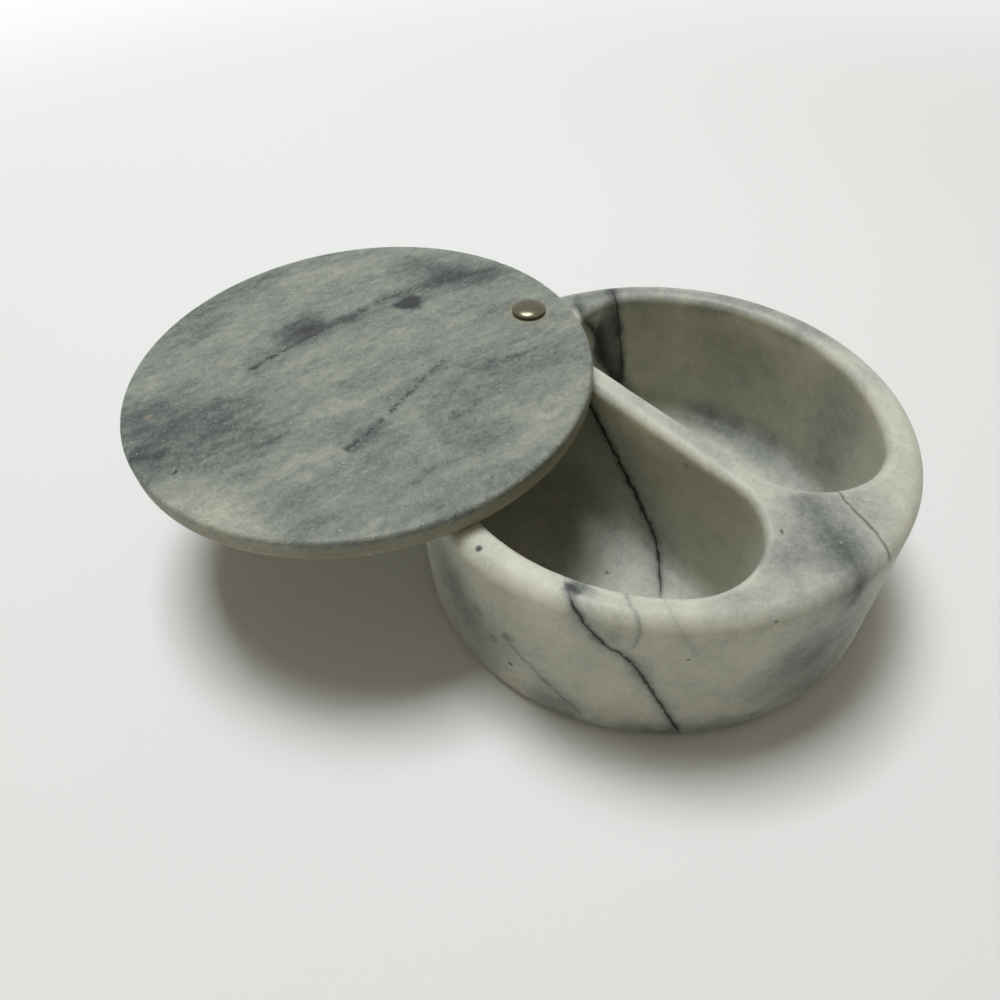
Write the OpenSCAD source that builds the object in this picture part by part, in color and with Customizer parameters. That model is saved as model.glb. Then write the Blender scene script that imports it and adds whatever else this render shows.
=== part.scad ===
// Salt cellar of polished marble with two pockets and a lid that swings on a pin.
// One round block of stone is hollowed into two D-shaped pockets that share a divider.
// A domed metal pin stands at one end of the divider and carries the round lid, which
// swings over the rim in its own plane.
// Millimetres, +Z up. The origin is the centre of the underside, the divider runs along Y
// and the pin stands at +Y.

/* [Base] */
// Outer diameter of the base
base_d = 120; // [100:1:150]
// Height of the base
base_h = 46; // [36:0.5:60]
// Rounding of the outer top edge
rim_round = 4; // [1:0.1:5]
// Rounding of the outer bottom edge
foot_round = 3; // [0.5:0.1:4]

/* [Pockets] */
// Thickness of the outer wall
wall_t = 8; // [7:0.1:10]
// Thickness of the divider between the pockets
divider_t = 7; // [5:0.1:12]
// Thickness of the floor
floor_t = 6; // [4:0.1:12]
// Radius of the upright corners where the divider meets the outer wall
corner_r = 18; // [12:0.1:22]
// Fillet between a pocket's floor and its walls
floor_fillet = 5; // [2:0.1:8]
// Rounding of a pocket's mouth
mouth_round = 1.8; // [0.5:0.1:2]

/* [Lid] */
// How far the closed lid's edge lies inside the base's edge
lid_inset = 1; // [0:0.5:4]
// Thickness of the lid
lid_t = 5.8; // [5:0.1:9]
// Gap between the lid and the rim, held open by the bush's flange
lid_gap = 0.3; // [0.2:0.05:0.5]
// Rounding of the lid's upper edge
lid_top_round = 0.8; // [0.3:0.1:2]
// Rounding of the lid's lower edge
lid_under_round = 1.4; // [0.3:0.1:2]
// How far the lid is swung open from its closed place, in degrees
lid_open = 103.5; // [0:0.5:180]

/* [Pin] */
// Distance of the pin's axis in from the base's edge
pin_inset = 12; // [11.5:0.1:16]
// Diameter of the pin's shank
shank_d = 4; // [3:0.1:5]
// Length of shank held in the socket
shank_grip = 16; // [10:0.5:20]
// Diameter of the pin's domed head
head_d = 9; // [8:0.1:11]
// Height of the dome
dome_h = 1; // [0.8:0.1:2]
// Height of the head's upright edge below the dome
head_edge_h = 0.8; // [0.3:0.1:1.2]
// Gap between the head and the lid
head_gap = 0.1; // [0.05:0.05:0.3]
// Width of each groove turned in the shank to key it in the socket
groove_w = 1; // [0.5:0.1:1.5]
// Depth of those grooves
groove_depth = 0.3; // [0.1:0.1:0.5]
// Spacing of those grooves
groove_pitch = 3; // [2:0.1:4]
// Chamfer at the shank's end
shank_chamfer = 0.6; // [0.2:0.1:1]

/* [Socket] */
// Wall of the socket around the shank
socket_wall = 1.5; // [1:0.1:2]
// Metal under the end of the shank
socket_end_t = 1.5; // [1:0.1:3]
// Diameter of the collar let into the top of the base
collar_d = 11; // [9:0.1:12]
// Thickness of the collar
collar_t = 1.2; // [0.8:0.1:2]

/* [Bush] */
// Wall of the bush in the lid's hole
bush_wall = 0.9; // [0.6:0.1:1.2]
// Running clearance all round the shank inside the bush
bush_clearance = 0.05; // [0.03:0.01:0.1]
// Diameter of the bush's flange under the lid
flange_d = 11; // [9:0.1:12]
// Thickness of the flange
flange_t = 1; // [0.7:0.1:1.4]

/* [Hidden] */
$fn = 96;

// Length that a cut runs past the face it opens
overrun = 1;
// How much wider a corner is cut than one that only touches its neighbours, so that their
// walls cross in a clean edge
corner_bite = 0.02;

base_r = base_d / 2;
lid_r = base_r - lid_inset;

// Pocket outline: an arc about the base's axis, two corner arcs and the divider's face
pocket_r = base_r - wall_t;
divider_half = divider_t / 2;
corner_x = divider_half + corner_r;
corner_y = sqrt(pow(pocket_r - corner_r, 2) - pow(corner_x, 2));
// Direction in which the outer arc ends and runs into the corner arc
arc_end = atan2(corner_y, corner_x);

// The stack of pieces on the pin, from the rim up
lid_z = base_h + lid_gap;
lid_top_z = lid_z + lid_t;
head_z = lid_top_z + head_gap;

// Distance from the middle of the base to the pin, and the round fits on the pin's axis
pin_offset = base_r - pin_inset;
shank_r = shank_d / 2;
socket_r = shank_r + socket_wall;
bush_bore_r = shank_r + bush_clearance;
bush_r = bush_bore_r + bush_wall;
shank_end_z = base_h - shank_grip;
socket_end_z = shank_end_z - socket_end_t;
groove_count = floor((shank_grip - groove_pitch) / groove_pitch);

// Radius of the ball that a dome of this width and height is cut from
dome_r = (pow(head_d / 2, 2) + pow(dome_h, 2)) / (2 * dome_h);

// A plain profile to revolve: from the axis out to r, with its outer corners rounded
module round_edged_profile(r, h, low_round, high_round) {
    difference() {
        square([r, h]);
        translate([r - low_round, 0]) square([low_round, low_round]);
        translate([r - high_round, h - high_round]) square([high_round, high_round]);
    }
    translate([r - low_round, low_round]) quarter_disc(low_round, -1);
    translate([r - high_round, h - high_round]) quarter_disc(high_round, 1);
}

// A quarter of a disc, pointing out along +X and up or down by the sign
module quarter_disc(r, sign) {
    intersection() {
        circle(r);
        translate([0, sign > 0 ? 0 : -r]) square([r, r]);
    }
}

// Section of a pocket from its middle out to a wall at reach: floor fillet and flared mouth
module pocket_section(reach) {
    wall_h = base_h - floor_t;
    translate([0, floor_t]) {
        difference() {
            square([reach, wall_h + overrun]);
            translate([reach - floor_fillet, 0]) square([floor_fillet, floor_fillet]);
        }
        translate([reach - floor_fillet, floor_fillet]) quarter_disc(floor_fillet, -1);
        difference() {
            translate([reach, wall_h - mouth_round])
                square([mouth_round, mouth_round + overrun]);
            translate([reach + mouth_round, wall_h - mouth_round]) circle(mouth_round);
        }
    }
}

// One D-shaped pocket, on the +X side of the divider. One section is swept along the whole
// outline: about the base's axis, about each upright corner and along the divider.
module pocket() {
    // the outer arc, cut off at the line through both corners' centres
    intersection() {
        rotate_extrude(angle = 2 * arc_end, start = -arc_end) pocket_section(pocket_r);
        translate([corner_x, -base_r, 0]) cube([base_r, base_d, base_h + overrun]);
    }
    for (side = [-1, 1])
        translate([corner_x, side * corner_y, 0])
            rotate_extrude() pocket_section(corner_r + corner_bite);
    // the straight stretch along the divider
    translate([corner_x + overrun, corner_y, 0])
        rotate([90, 0, 0])
            linear_extrude(2 * corner_y)
                mirror([1, 0]) pocket_section(corner_r + overrun);
}

// Turns what is drawn in its closed place about the pin, to where the lid stands open
module swung_open() {
    translate([0, pin_offset, 0])
        rotate([0, 0, -lid_open])
            translate([0, -pin_offset, 0])
                children();
}

// The block of stone with both pockets and the blind hole for the socket
module base() {
    color("gainsboro")
        difference() {
            rotate_extrude() round_edged_profile(base_r, base_h, foot_round, rim_round);
            pocket();
            mirror([1, 0, 0]) pocket();
            translate([0, pin_offset, socket_end_z])
                cylinder(h = base_h - socket_end_z + overrun, r = socket_r);
            translate([0, pin_offset, base_h - collar_t])
                cylinder(h = collar_t + overrun, d = collar_d);
        }
}

// The collared sleeve bonded in the base, closed at its lower end
module pin_socket() {
    color("goldenrod")
        translate([0, pin_offset, 0])
            difference() {
                union() {
                    translate([0, 0, socket_end_z])
                        cylinder(h = base_h - socket_end_z, r = socket_r);
                    translate([0, 0, base_h - collar_t]) cylinder(h = collar_t, d = collar_d);
                }
                translate([0, 0, shank_end_z])
                    cylinder(h = shank_grip + overrun, r = shank_r);
            }
}

// Half of the pin's outline, revolved: chamfered shank, keying grooves and domed head
module pivot_pin() {
    color("silver")
        translate([0, pin_offset, 0])
            rotate_extrude() {
                difference() {
                    translate([0, shank_end_z]) square([shank_r, head_z - shank_end_z]);
                    translate([shank_r, shank_end_z]) rotate(45)
                        square(shank_chamfer * sqrt(2), center = true);
                    for (i = [1:groove_count])
                        translate([shank_r - groove_depth, shank_end_z + i * groove_pitch])
                            square([groove_depth + overrun, groove_w]);
                }
                translate([0, head_z]) square([head_d / 2, head_edge_h]);
                intersection() {
                    translate([0, head_z + head_edge_h + dome_h - dome_r]) circle(dome_r);
                    translate([0, head_z + head_edge_h]) square([head_d / 2, dome_h]);
                }
            }
}

// The disc lid, bored for the bush and counterbored below for its flange
module lid() {
    color("darkgray")
        swung_open()
            translate([0, 0, lid_z])
                difference() {
                    rotate_extrude()
                        round_edged_profile(lid_r, lid_t, lid_under_round, lid_top_round);
                    translate([0, pin_offset, -overrun])
                        cylinder(h = lid_t + 2 * overrun, r = bush_r);
                    translate([0, pin_offset, -overrun])
                        cylinder(h = overrun + flange_t - lid_gap, d = flange_d);
                }
}

// The flanged bush, flush with the lid's top and standing out below by the lid's gap
module lid_bush() {
    color("white")
        translate([0, pin_offset, base_h])
            difference() {
                union() {
                    cylinder(h = lid_gap + lid_t, r = bush_r);
                    cylinder(h = flange_t, d = flange_d);
                }
                translate([0, 0, -overrun])
                    cylinder(h = lid_gap + lid_t + 2 * overrun, r = bush_bore_r);
            }
}

base();
pin_socket();
pivot_pin();
lid();
lid_bush();
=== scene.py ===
"""Looks of a two-pocket marble salt cellar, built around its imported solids.

The frame is in metres, with the origin at the centre of the base's underside, +Z up and the
pockets' divider along Y. The places of veins, clouds and specks in the stone are in millimetres
in that same frame, because that is the unit in which a mason would mark them.
"""

import logging
import math
from dataclasses import dataclass, field
from itertools import accumulate

import bmesh
import bpy
from mathutils import Matrix, Vector, noise


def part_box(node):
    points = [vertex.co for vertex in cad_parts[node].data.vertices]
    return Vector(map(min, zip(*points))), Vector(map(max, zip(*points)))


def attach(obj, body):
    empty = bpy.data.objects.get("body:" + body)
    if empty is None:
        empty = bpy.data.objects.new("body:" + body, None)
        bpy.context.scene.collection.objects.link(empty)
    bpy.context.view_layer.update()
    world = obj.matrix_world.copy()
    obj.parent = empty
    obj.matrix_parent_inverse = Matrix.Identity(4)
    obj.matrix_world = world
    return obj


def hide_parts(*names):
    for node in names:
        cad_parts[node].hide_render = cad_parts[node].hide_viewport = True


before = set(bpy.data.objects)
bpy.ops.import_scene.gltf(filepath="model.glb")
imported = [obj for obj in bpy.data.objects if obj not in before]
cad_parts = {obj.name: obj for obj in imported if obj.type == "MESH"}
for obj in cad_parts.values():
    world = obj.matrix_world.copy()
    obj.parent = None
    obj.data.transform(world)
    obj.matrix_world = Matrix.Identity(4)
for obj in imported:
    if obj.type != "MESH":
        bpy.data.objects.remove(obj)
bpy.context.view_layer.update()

logging.basicConfig(level=logging.INFO, format="%(message)s")
log = logging.getLogger("salt_cellar")

MM = 0.001
IN_MM = 1000.0
QUARTER = math.pi / 2

Pair = tuple[float, float]
Point3 = tuple[float, float, float]
Colour = tuple[float, float, float]
Socket = bpy.types.NodeSocket
Material = bpy.types.Material
Object = bpy.types.Object
Work = bmesh.types.BMesh
Ring = list[bmesh.types.BMVert]


def linear(channel: int) -> float:
    """A channel from 0 to 255, as a screen shows it, turned into the linear one of the shaders."""
    toe, slope, offset, gamma, share = 0.04045, 12.92, 0.055, 2.4, channel / 255
    return share / slope if share <= toe else ((share + offset) / (1 + offset)) ** gamma


def srgb(*channels: int) -> Colour:
    """A colour as a screen shows it, turned into the linear one of the shaders."""
    return tuple(linear(channel) for channel in channels)


@dataclass(frozen=True)
class Value:
    """What a node puts out. Arithmetic on a number of this kind adds nodes to its graph."""

    graph: "Graph"
    socket: Socket

    def __add__(self, other: object) -> "Value":
        """The sum of two numbers."""
        return self.graph.math("ADD", self, other)

    def __sub__(self, other: object) -> "Value":
        """One number less another."""
        return self.graph.math("SUBTRACT", self, other)

    def __rsub__(self, other: float) -> "Value":
        """A plain number less this one."""
        return self.graph.math("SUBTRACT", other, self)

    def __mul__(self, other: object) -> "Value":
        """The product of two numbers."""
        return self.graph.math("MULTIPLY", self, other)

    def __rtruediv__(self, other: float) -> "Value":
        """A plain number over this one."""
        return self.graph.math("DIVIDE", other, self)


@dataclass(frozen=True)
class Made:
    """A node just made, whose outputs are taken by their names or numbers."""

    graph: "Graph"
    node: bpy.types.Node

    def __getitem__(self, key: str | int) -> Value:
        """One of its outputs."""
        return Value(self.graph, self.node.outputs[key])


class Graph:
    """Adds nodes to one node tree and wires them, so that a finish reads as a few lines."""

    COLUMN, ROW, ROWS = 190, 160, 8

    def __init__(self, tree: bpy.types.NodeTree) -> None:
        """Starts on a tree, whose nodes are laid out in columns as they come."""
        self.tree = tree
        self.count = 0

    def add(self, kind: str, inputs: dict | None = None, **settings: object) -> Made:
        """Adds one node.

        Args:
            kind: the node's class name.
            inputs: a value for each input, by its name or number.
            settings: the node's own settings.

        Returns:
            The node.
        """
        node = self.tree.nodes.new(kind)
        column, row = divmod(self.count, self.ROWS)
        node.location = (column * self.COLUMN, -row * self.ROW)
        self.count += 1
        for name, value in settings.items():
            setattr(node, name, value)
        for name, value in (inputs or {}).items():
            self.feed(node.inputs[name], value)
        return Made(self, node)

    def feed(self, socket: Socket, value: object) -> None:
        """Links another node's output to an input, or sets the input's own value.

        Args:
            socket: the input.
            value: an output, a number, a vector or a colour.
        """
        if isinstance(value, Value):
            self.tree.links.new(value.socket, socket)
            return
        if socket.type == "RGBA" and len(value) == 3:
            value = (*value, 1.0)
        socket.default_value = value

    def math(self, operation: str, *values: object) -> Value:
        """One step of arithmetic on numbers."""
        return self.add("ShaderNodeMath", dict(enumerate(values)), operation=operation)[0]

    def vector(self, operation: str, *values: object) -> Value:
        """One step of vector arithmetic that gives a vector."""
        return self.add("ShaderNodeVectorMath", dict(enumerate(values)), operation=operation)[0]

    def length(self, vector: Value) -> Value:
        """The length of a vector."""
        return self.add("ShaderNodeVectorMath", {0: vector}, operation="LENGTH")["Value"]

    def scaled(self, vector: Value, factor: object) -> Value:
        """A vector times a number."""
        inputs = {0: vector, "Scale": factor}
        return self.add("ShaderNodeVectorMath", inputs, operation="SCALE")[0]

    def parts(self, vector: Value) -> list[Value]:
        """A vector's X, Y and Z."""
        made = self.add("ShaderNodeSeparateXYZ", {0: vector})
        return [made[axis] for axis in "XYZ"]

    def point(self, *parts: object) -> Value:
        """A vector from its X, Y and Z, of which Z may be left out."""
        return self.add("ShaderNodeCombineXYZ", dict(enumerate(parts)))[0]

    def mapped(self, vector: Value, **frame_of: object) -> Value:
        """A vector seen in a frame of its own, given by its Location, Rotation and Scale."""
        inputs = {"Vector": vector, **frame_of}
        return self.add("ShaderNodeMapping", inputs, vector_type="TEXTURE")[0]

    def ramp(
        self, value: object, low: object, high: object, start: object = 0.0, end: object = 1.0,
        smooth: bool = True,
    ) -> Value:
        """Maps a number from one range to another, and holds it there.

        Args:
            value: the number.
            low: where its range starts.
            high: where its range ends.
            start: what low becomes.
            end: what high becomes.
            smooth: whether it sets out and arrives softly.

        Returns:
            The new number.
        """
        inputs = dict(enumerate((value, low, high, start, end)))
        kind = "SMOOTHSTEP" if smooth else "LINEAR"
        return self.add("ShaderNodeMapRange", inputs, interpolation_type=kind)[0]

    def fade(self, value: object, near: object, far: object, most: object = 1.0) -> Value:
        """A mask that is at its most up to near and has softly gone at far."""
        return self.ramp(value, near, far, most, 0.0)

    def blend(self, factor: Value, low: object, high: object) -> Value:
        """Mixes two colours by a factor from 0 to 1."""
        return self.add("ShaderNodeMix", {0: factor, 6: low, 7: high}, data_type="RGBA")[2]

    def noise(self, point: Value, scale: object, detail: object = 3.0, rough: float = 0.5) -> Made:
        """A noise texture at a number of features a unit."""
        inputs = {"Vector": point, "Scale": scale, "Detail": detail, "Roughness": rough}
        return self.add("ShaderNodeTexNoise", inputs)

    def bump(self, height: Value, strength: float, distance: float) -> Value:
        """The normal of a surface with a fine relief."""
        inputs = {"Strength": strength, "Distance": distance, "Height": height}
        return self.add("ShaderNodeBump", inputs)[0]

    def group(self, name: str, **values: object) -> list[Value]:
        """Places a shader group with its own values.

        Args:
            name: the group's name.
            values: its inputs, whose names are given with _ for a space.

        Returns:
            The group's outputs.
        """
        inputs = {key.replace("_", " "): value for key, value in values.items()}
        made = self.add("ShaderNodeGroup", inputs, node_tree=bpy.data.node_groups[name])
        return [Value(self, socket) for socket in made.node.outputs]

    def give(self, **values: Value) -> None:
        """Adds the output node of a group, and feeds its outputs."""
        self.add("NodeGroupOutput", values)

    def place_in_mm(self) -> Value:
        """The place on the object, in millimetres."""
        return self.scaled(self.add("ShaderNodeTexCoord")["Object"], IN_MM)

    def end(self, shader: Value, kind: str = "ShaderNodeOutputMaterial") -> None:
        """Adds the output node that shows a shader."""
        self.add(kind, {"Surface": shader})


def blank_graph(owner: Material | bpy.types.World) -> Graph:
    """Clears the nodes of a material or a world.

    Args:
        owner: the material or the world.

    Returns:
        A graph that starts afresh on them.
    """
    owner.use_nodes = True
    owner.node_tree.nodes.clear()
    return Graph(owner.node_tree)


def numbers(*names: str) -> dict[str, str]:
    """Group sockets that carry numbers."""
    return dict.fromkeys(names, "NodeSocketFloat")


def points(*names: str) -> dict[str, str]:
    """Group sockets that carry vectors."""
    return dict.fromkeys(names, "NodeSocketVector")


def new_group(
    name: str, inputs: dict[str, str], outputs: dict[str, str], kind: str = "ShaderNodeTree"
) -> tuple[Graph, list[Value]]:
    """Starts a node group with named inputs and outputs.

    Args:
        name: the group's name.
        inputs: the socket class of each input, by its name.
        outputs: the socket class of each output, by its name.
        kind: the class of its tree.

    Returns:
        The group's graph, and its inputs in order.
    """
    tree = bpy.data.node_groups.new(name, kind)
    for side, sockets in (("INPUT", inputs), ("OUTPUT", outputs)):
        for label, socket in sockets.items():
            tree.interface.new_socket(label, in_out=side, socket_type=socket)
    graph = Graph(tree)
    source = graph.add("NodeGroupInput")
    return graph, [source[label] for label in inputs]


class StoneEffects:
    """The node groups that both marbles share, each built once. Lengths in them are millimetres."""

    def build(self) -> None:
        """Builds the groups."""
        self._drift()
        self._vein()
        self._cloud()
        self._bands()
        self._crystals()
        self._turning()
        self._wear()

    @staticmethod
    def _drift() -> None:
        """A point pushed about by noise, so that what is drawn with it wanders."""
        g, (point, reach, size) = new_group(
            "stone_drift", points("Point") | numbers("Reach", "Size"), points("Point")
        )
        push = g.noise(point, 1.0 / size)["Color"]
        centred = g.vector("SUBTRACT", push, (0.5, 0.5, 0.5))
        g.give(Point=g.vector("ADD", point, g.scaled(centred, reach * 2.0)))

    @staticmethod
    def _vein() -> None:
        """A vein seen in its own frame: its dark line and the haze on both sides of it."""
        g, (place, bend, sway, width, swell, haze_width, depth) = new_group(
            "vein_sheet",
            points("Place") | numbers("Bend", "Sway", "Width", "Swell", "Haze Width", "Depth"),
            numbers("Line", "Haze"),
        )
        core_end, line_end, fringe_end, fringe_ink, full_depth = 0.2, 0.6, 1.8, 0.6, 0.6
        start_band, end_band = (-0.03, 0.04), (0.93, 1.03)
        along, across, deep = g.parts(place)
        # A bend of a half lies on the straight line, and 0 and 1 are the whole sway off it
        centre = (bend - 0.5) * sway
        gap = g.math("ABSOLUTE", across - centre * 2.0)
        width = width * swell
        core = g.fade(gap, width * core_end, width * line_end)
        fringe = g.fade(gap, 0.0, width * fringe_end, fringe_ink)
        ends = g.ramp(along, *start_band) * g.fade(along, *end_band)
        held = ends * g.fade(g.math("ABSOLUTE", deep), depth * full_depth, depth)
        line = g.math("MAXIMUM", core, fringe) * held
        g.give(Line=line, Haze=g.fade(gap, 0.0, haze_width) * held)

    @staticmethod
    def _cloud() -> None:
        """The mask of a soft ellipsoid, for smoke in the stone, a stain, a speck, painted light or
        painted shade.
        """
        g, (point, centre, turn, reach, core, strength) = new_group(
            "stone_cloud",
            points("Point", "Centre") | numbers("Turn") | points("Reach")
            | numbers("Core", "Strength"),
            numbers("Mask"),
        )
        turned = g.add(
            "ShaderNodeVectorRotate", {"Vector": point, "Center": centre, "Angle": turn},
            rotation_type="Z_AXIS",
        )[0]
        local = g.vector("SUBTRACT", turned, centre)
        gap = g.length(g.vector("DIVIDE", local, reach))
        g.give(Mask=g.fade(gap, core, 1.0, strength))

    @staticmethod
    def _bands() -> None:
        """Noise drawn out along one direction, as the layers in the stone are."""
        g, (point, turn, along, across, shift, detail) = new_group(
            "stone_bands", points("Point", "Turn") | numbers("Along", "Across", "Shift", "Detail"),
            numbers("Value"),
        )
        local = g.mapped(point, Rotation=turn, Scale=g.point(along, across, across))
        g.give(Value=g.noise(g.vector("ADD", local, shift), 1.0, detail, 0.55)[0] - 0.5)

    @staticmethod
    def _crystals() -> None:
        """The sugary grain of marble: small crystals, painted glints of a few bright faces and a
        fine relief.
        """
        g, (point, size, glint_share) = new_group(
            "stone_crystals", points("Point") | numbers("Size", "Glint Share"),
            numbers("Shade", "Glint", "Relief"),
        )
        fineness, fine_shade, coarse_relief, face_band = 2.2, 3.0, 0.4, (0.1, 0.4)
        density = 1.0 / size
        cells = g.add("ShaderNodeTexVoronoi", {"Vector": point, "Scale": density})
        tone = g.add("ShaderNodeSeparateColor", {"Color": cells["Color"]})
        fine = g.noise(point, density * fineness, 2.0, 0.6)[0]
        coarse, fine = tone["Red"] - 0.5, fine - 0.5
        shade = coarse + fine * fine_shade
        chosen = g.math("LESS_THAN", tone["Green"], glint_share)
        glint = chosen * g.fade(cells["Distance"], *face_band)
        g.give(Shade=shade, Glint=glint, Relief=fine + coarse * coarse_relief)

    @staticmethod
    def _about(g: Graph, point: Value, axis: Value) -> tuple[Value, Value, Value, Value]:
        """A point's X, Y and Z from an upright axis, and its distance from it."""
        x, y, z = g.parts(g.vector("SUBTRACT", point, axis))
        return x, y, z, g.math("SQRT", x * x + y * y)

    def _turning(self) -> None:
        """Faint marks of the lathe, rings about an upright axis."""
        g, (point, axis, pitch) = new_group(
            "turning_marks", points("Point", "Axis") | numbers("Pitch"), numbers("Value")
        )
        x, y, z, radius = self._about(g, point, axis)
        around = g.point(radius, g.math("ARCTAN2", y, x), z)
        g.give(Value=g.noise(around, 1.0 / pitch, 2.0, 0.7)[0] - 0.5)

    def _wear(self) -> None:
        """Broken places along a round edge, about an upright axis."""
        g, (point, axis, radius, height, reach, size) = new_group(
            "edge_wear", points("Point", "Axis") | numbers("Radius", "Height", "Reach", "Size"),
            numbers("Mask"),
        )
        _, _, z, out = self._about(g, point, axis)
        broken_band = (0.58, 0.7)
        near = g.fade(g.length(g.point(out - radius, z - height)), 0.0, reach)
        broken = g.ramp(g.noise(point, 1.0 / size, 3.0, 0.65)[0], *broken_band)
        g.give(Mask=near * broken)


@dataclass(frozen=True)
class Vein:
    """A vein, in millimetres: a thin dark sheet in the stone that shows as a line on its faces.

    The route lists the places that the line passes on the stone's face. The sheet runs on into
    the stone along its lean.
    """

    route: tuple[Point3, ...]
    width: float
    haze: float
    haze_width: float
    ink: float = 0.9
    depth: float = 14.0
    lean: Point3 = (0.39, 0.56, -0.73)
    least_sway: float = 0.5

    def span(self) -> Vector:
        """From its one end straight to its other."""
        return Vector(self.route[-1]) - Vector(self.route[0])

    def axes(self) -> Matrix:
        """The sheet's own frame.

        Returns:
            Its columns point along the vein, across it and into the stone.
        """
        along, lean = self.span().normalized(), Vector(self.lean)
        deep = (lean - along * lean.dot(along)).normalized()
        return Matrix((along, deep.cross(along), deep)).transposed()

    def bends(self) -> list[Pair]:
        """Where the route lies along the straight line between its ends, and how far beside it.

        Returns:
            For each place the share of the length, and the distance across in millimetres.
        """
        local = [self.axes().transposed() @ (Vector(p) - Vector(self.route[0])) for p in self.route]
        return [(p.x / self.span().length, p.y) for p in local]

    def draw(self, g: Graph, point: Value, swell: Value) -> list[Value]:
        """Draws the vein, whose bends are a curve along its length.

        Args:
            g: the material's graph.
            point: the point that it is drawn with.
            swell: how much thicker or thinner it is than its width, from place to place.

        Returns:
            The masks of its line and its haze.
        """
        place = g.mapped(
            point, Location=self.route[0], Rotation=tuple(self.axes().to_euler()),
            Scale=(self.span().length, 1.0, 1.0),
        )
        bends = self.bends()
        sway = max(self.least_sway, *(abs(across) for _, across in bends))
        curve = g.add("ShaderNodeFloatCurve")
        spots = curve.node.mapping.curves[0].points
        while len(spots) < len(bends):
            spots.new(0.5, 0.5)
        for spot, (share, across) in zip(spots, bends):
            spot.location = (share, 0.5 + across / sway / 2)
        curve.node.mapping.update()
        g.feed(curve.node.inputs["Value"], g.parts(place)[0])
        return g.group(
            "vein_sheet", Place=place, Bend=curve[0], Sway=sway, Width=self.width, Swell=swell,
            Haze_Width=self.haze_width, Depth=self.depth,
        )


@dataclass(frozen=True)
class Cloud:
    """A soft patch of tone in the stone or of painted light and shade, in millimetres: its middle,
    its half sizes and its turn.
    """

    centre: Point3
    reach: Point3
    strength: float
    turn: float = 0.0
    core: float = 0.1


def patches(*rows: tuple) -> tuple[Cloud, ...]:
    """Clouds from rows of their middle, half sizes, strength, turn and core."""
    return tuple(Cloud(*row) for row in rows)


@dataclass(frozen=True)
class Bands:
    """Bands in the stone along its lean, in millimetres, and their share in its tone."""

    along: float
    across: float
    share: float
    shift: float
    detail: float

    def draw(self, g: Graph, point: Value, lean: Point3) -> Value:
        """The bands, about zero."""
        return g.group(
            "stone_bands", Point=point, Turn=lean, Along=self.along, Across=self.across,
            Shift=self.shift, Detail=self.detail,
        )[0]


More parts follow.
